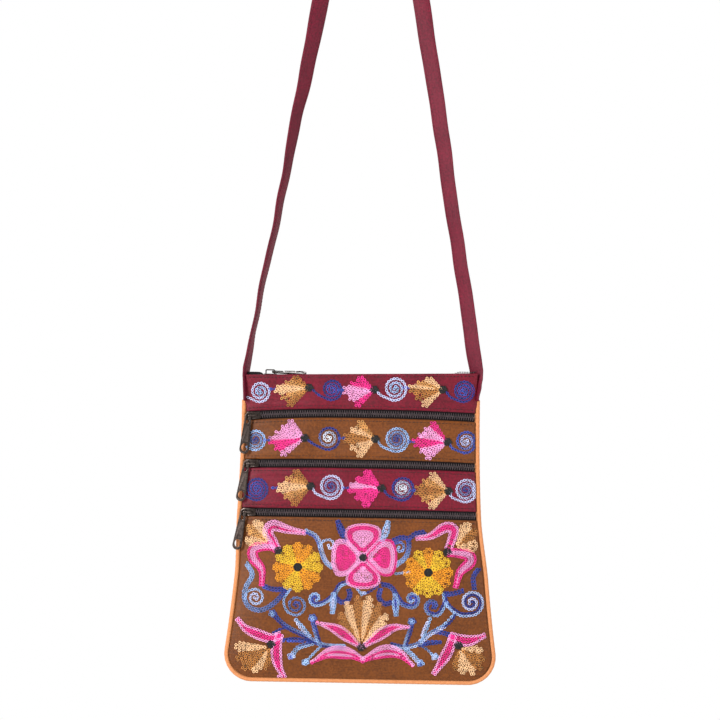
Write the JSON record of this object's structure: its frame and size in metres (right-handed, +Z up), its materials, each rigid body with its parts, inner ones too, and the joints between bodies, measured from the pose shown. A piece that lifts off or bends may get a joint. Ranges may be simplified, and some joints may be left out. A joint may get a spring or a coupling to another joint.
{
  "type": "embroidered shoulder bag",
  "caption": "Flat zipped cloth shoulder bag with embroidered satin bands, corded edge, front zip pockets and a long cloth strap.",
  "frame": {"origin": "underside of the strap at the top of its loop, where the bag hangs", "axes": "+Z up, the embroidered front faces -Y, +X to the right as seen from the front"},
  "size_m": [0.2166, 0.0162, 0.7295],
  "materials": {
    "maroon_cloth": "maroon polyester satin",
    "brown_cloth": "golden brown polyester satin",
    "orange_piping": "orange bias cloth over a cord",
    "zip_tape": "black woven zip tape",
    "zip_teeth": "black nylon coil",
    "zip_metal": "gunmetal plated zinc",
    "embroidery": "glossy rayon thread in chain stitch"
  },
  "bodies": {
    "bag": {"top_band": "maroon_cloth", "second_band": "brown_cloth", "third_band": "maroon_cloth", "main_panel": "brown_cloth", "back_panel": "maroon_cloth", "piping": "orange_piping", "strap": "maroon_cloth", "top_zip_front_tape": "zip_tape", "top_zip_back_tape": "zip_tape", "top_zip_chain": "zip_teeth", "top_zip_slider": "zip_metal", "front_zip_1_upper_tape": "zip_tape", "front_zip_1_lower_tape": "zip_tape", "front_zip_1_chain": "zip_teeth", "front_zip_1_slider": "zip_metal", "front_zip_2_upper_tape": "zip_tape", "front_zip_2_lower_tape": "zip_tape", "front_zip_2_chain": "zip_teeth", "front_zip_2_slider": "zip_metal", "front_zip_3_upper_tape": "zip_tape", "front_zip_3_lower_tape": "zip_tape", "front_zip_3_chain": "zip_teeth", "front_zip_3_slider": "zip_metal"},
    "top_pull": {"top_zip_pull": "zip_metal"},
    "front_pull_1": {"front_zip_1_pull": "zip_metal"},
    "front_pull_2": {"front_zip_2_pull": "zip_metal"},
    "front_pull_3": {"front_zip_3_pull": "zip_metal"}
  },
  "joints": [
    {"name": "top_pull_lift", "type": "hinge", "parent": "bag", "child": "top_pull", "pos_m": [-0.071, 0, -0.4797], "axis": [0, -1, 0], "range_deg": [0, 120]},
    {"name": "front_pull_1_swing", "type": "hinge", "parent": "bag", "child": "front_pull_1", "pos_m": [-0.08937, -0.002, -0.51489], "axis": [-0.155, -0.9877, 0.0226], "range_deg": [-89, 58]},
    {"name": "front_pull_2_swing", "type": "hinge", "parent": "bag", "child": "front_pull_2", "pos_m": [-0.09, -0.00223, -0.55302], "axis": [-0.2249, -0.9743, 0.0131], "range_deg": [-89, 58]},
    {"name": "front_pull_3_swing", "type": "hinge", "parent": "bag", "child": "front_pull_3", "pos_m": [-0.09168, -0.00227, -0.59177], "axis": [-0.2366, -0.9715, 0.0129], "range_deg": [-89, 58]}
  ]
}
